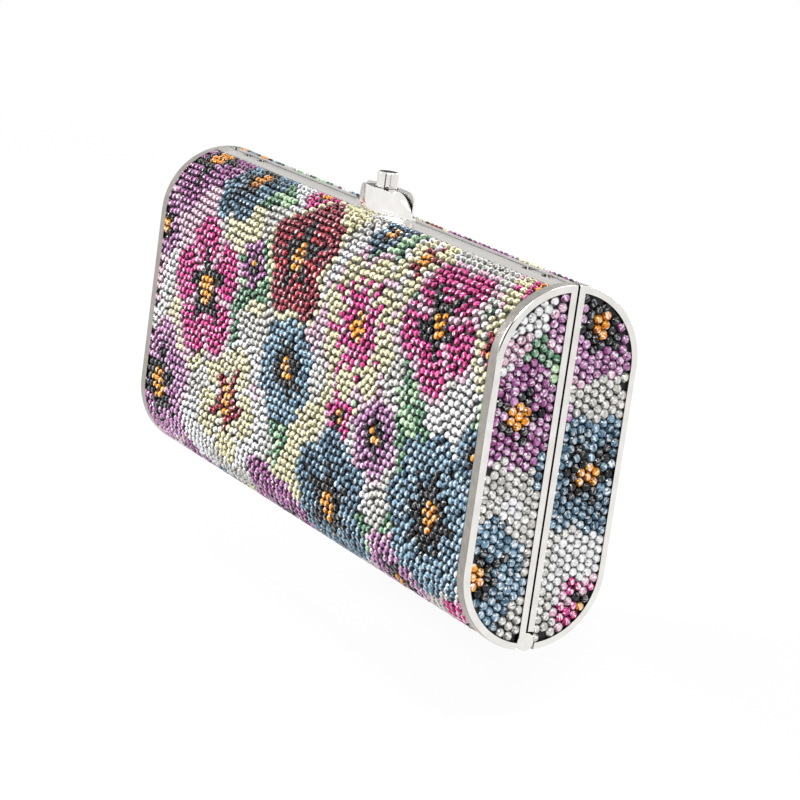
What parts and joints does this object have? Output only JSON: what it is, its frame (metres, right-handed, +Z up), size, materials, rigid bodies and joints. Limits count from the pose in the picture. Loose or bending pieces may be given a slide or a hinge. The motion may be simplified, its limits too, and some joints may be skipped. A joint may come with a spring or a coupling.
{
  "type": "minaudiere",
  "caption": "Rigid pill-section evening clutch set all over with crystals in a floral mosaic, with polished rims, a bottom hinge and a push-button clasp",
  "frame": {"origin": "Centre of the clutch's length and depth, at the lowest point of the hinge barrel", "axes": "+X along the clutch, +Y from the front half to the back half, +Z up through the clasp button"},
  "size_m": [0.173, 0.0352, 0.0885],
  "materials": {
    "polished_metal": "polished pale plating",
    "crystal": "foil-backed cut crystals in many colours",
    "shell_metal": "plain sheet, covered",
    "lining_leather": "soft metallic kid leather",
    "spring_steel": "plain spring steel"
  },
  "bodies": {
    "back_half": {"back_shell": "shell_metal", "back_crystals": "crystal", "back_lining": "lining_leather", "back_top_rail": "polished_metal", "back_hinge_rail": "polished_metal", "back_left_rim": "polished_metal", "back_right_rim": "polished_metal", "back_left_end_plate": "shell_metal", "back_right_end_plate": "shell_metal", "back_left_end_crystals": "crystal", "back_right_end_crystals": "crystal", "hinge_pin": "spring_steel", "left_chain_eye": "polished_metal", "right_chain_eye": "polished_metal", "clasp_housing": "polished_metal", "button_guide": "polished_metal", "return_spring": "spring_steel"},
    "front_half": {"front_shell": "shell_metal", "front_crystals": "crystal", "front_lining": "lining_leather", "front_top_rail": "polished_metal", "front_hinge_rail": "polished_metal", "front_left_rim": "polished_metal", "front_right_rim": "polished_metal", "front_left_end_plate": "shell_metal", "front_right_end_plate": "shell_metal", "front_left_end_crystals": "crystal", "front_right_end_crystals": "crystal", "front_lug": "polished_metal", "spring_tongue": "spring_steel", "tongue_rivets": "spring_steel"},
    "button": {"push_button": "polished_metal", "button_stem": "spring_steel", "stem_clip": "spring_steel"}
  },
  "joints": [
    {"name": "front_swing", "type": "hinge", "parent": "back_half", "child": "front_half", "pos_m": [0, 0, 0.002], "axis": [1, 0, 0], "range_deg": [0, 95]},
    {"name": "button_press", "type": "slide", "parent": "back_half", "child": "button", "axis": [0, 0, -1], "range_m": [0, 0.001], "stiffness_N_per_m": 300, "springref_m": -0.002, "deforming": ["return_spring", "spring_tongue"]}
  ]
}
